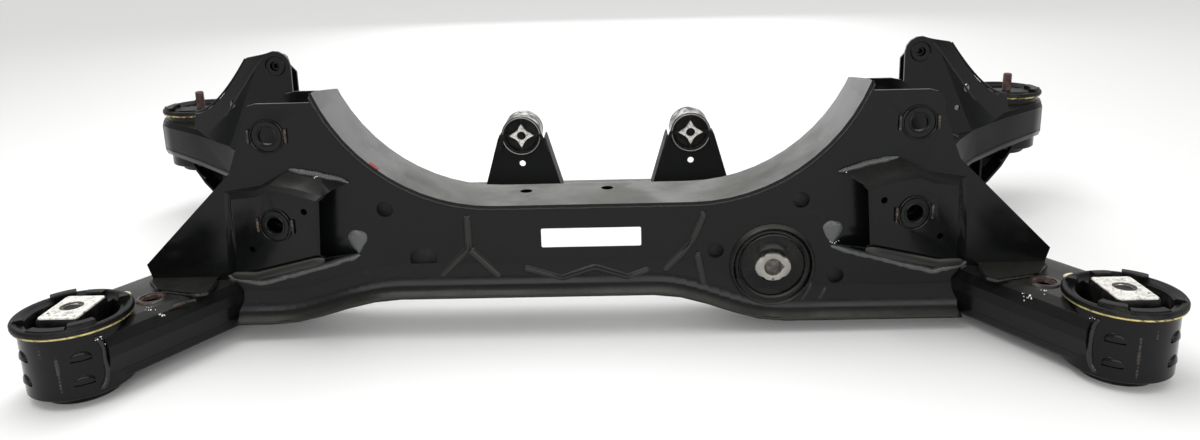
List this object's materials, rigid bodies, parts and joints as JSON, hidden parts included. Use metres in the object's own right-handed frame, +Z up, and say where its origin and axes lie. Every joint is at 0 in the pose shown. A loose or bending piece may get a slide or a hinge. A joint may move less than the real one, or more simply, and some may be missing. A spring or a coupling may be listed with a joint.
{
  "type": "rear axle subframe",
  "caption": "Welded sheet-steel cradle with an arched crossmember, curved side rails, link brackets and pressed-in rubber mounts at its corners.",
  "frame": {"origin": "floor level under the middle of the whole part", "axes": "+X along the crossmembers to the right as pictured, +Y from the arched near crossmember toward the plain far crossmember, +Z up"},
  "size_m": [1.289, 0.647, 0.2613],
  "materials": {
    "black_paint": "glossy black dip paint over pressed sheet steel, with rust at welds and edges",
    "rubber": "black moulded rubber, dusty",
    "cast_aluminium": "cast aluminium with white corrosion",
    "zinc_plate": "yellow zinc plate, worn and rusty in places",
    "bare_steel": "steel tube with worn black paint, bright at its rim",
    "rusty_steel": "steel bolt with brown rust"
  },
  "bodies": {
    "root": {"crossmember_face_shell": "black_paint", "crossmember_back_shell": "black_paint", "rear_arm_upper_left": "black_paint", "rear_arm_upper_right": "black_paint", "rear_arm_lower_left": "black_paint", "rear_arm_lower_right": "black_paint", "link_pocket_left": "black_paint", "link_pocket_right": "black_paint", "side_rail_upper_left": "black_paint", "side_rail_upper_right": "black_paint", "side_rail_lower_left": "black_paint", "side_rail_lower_right": "black_paint", "front_link_plate_near_left": "black_paint", "front_link_plate_near_right": "black_paint", "front_link_plate_far_left": "black_paint", "front_link_plate_far_right": "black_paint", "arm_brace_left": "black_paint", "arm_brace_right": "black_paint", "far_crossmember_upper": "black_paint", "far_crossmember_lower": "black_paint", "diff_bracket_left": "black_paint", "diff_bracket_right": "black_paint", "diff_tube_left": "bare_steel", "diff_tube_right": "bare_steel", "diff_rubber_left": "rubber", "diff_rubber_right": "rubber", "diff_core_left": "cast_aluminium", "diff_core_right": "cast_aluminium", "diff_bush_sleeve": "black_paint", "diff_bush_rubber": "rubber", "diff_bush_core": "cast_aluminium", "rear_mount_left_sleeve": "black_paint", "rear_mount_right_sleeve": "black_paint", "rear_mount_left_bush_can": "zinc_plate", "rear_mount_right_bush_can": "zinc_plate", "rear_mount_left_bush_rubber": "rubber", "rear_mount_right_bush_rubber": "rubber", "rear_mount_left_bush_core": "cast_aluminium", "rear_mount_right_bush_core": "cast_aluminium", "front_mount_left_sleeve": "black_paint", "front_mount_right_sleeve": "black_paint", "front_mount_left_bush_can": "zinc_plate", "front_mount_right_bush_can": "zinc_plate", "front_mount_left_bush_rubber": "rubber", "front_mount_right_bush_rubber": "rubber", "front_mount_left_bush_core": "cast_aluminium", "front_mount_right_bush_core": "cast_aluminium", "front_mount_bolt_left": "rusty_steel", "front_mount_bolt_right": "rusty_steel"}
  },
  "joints": []
}
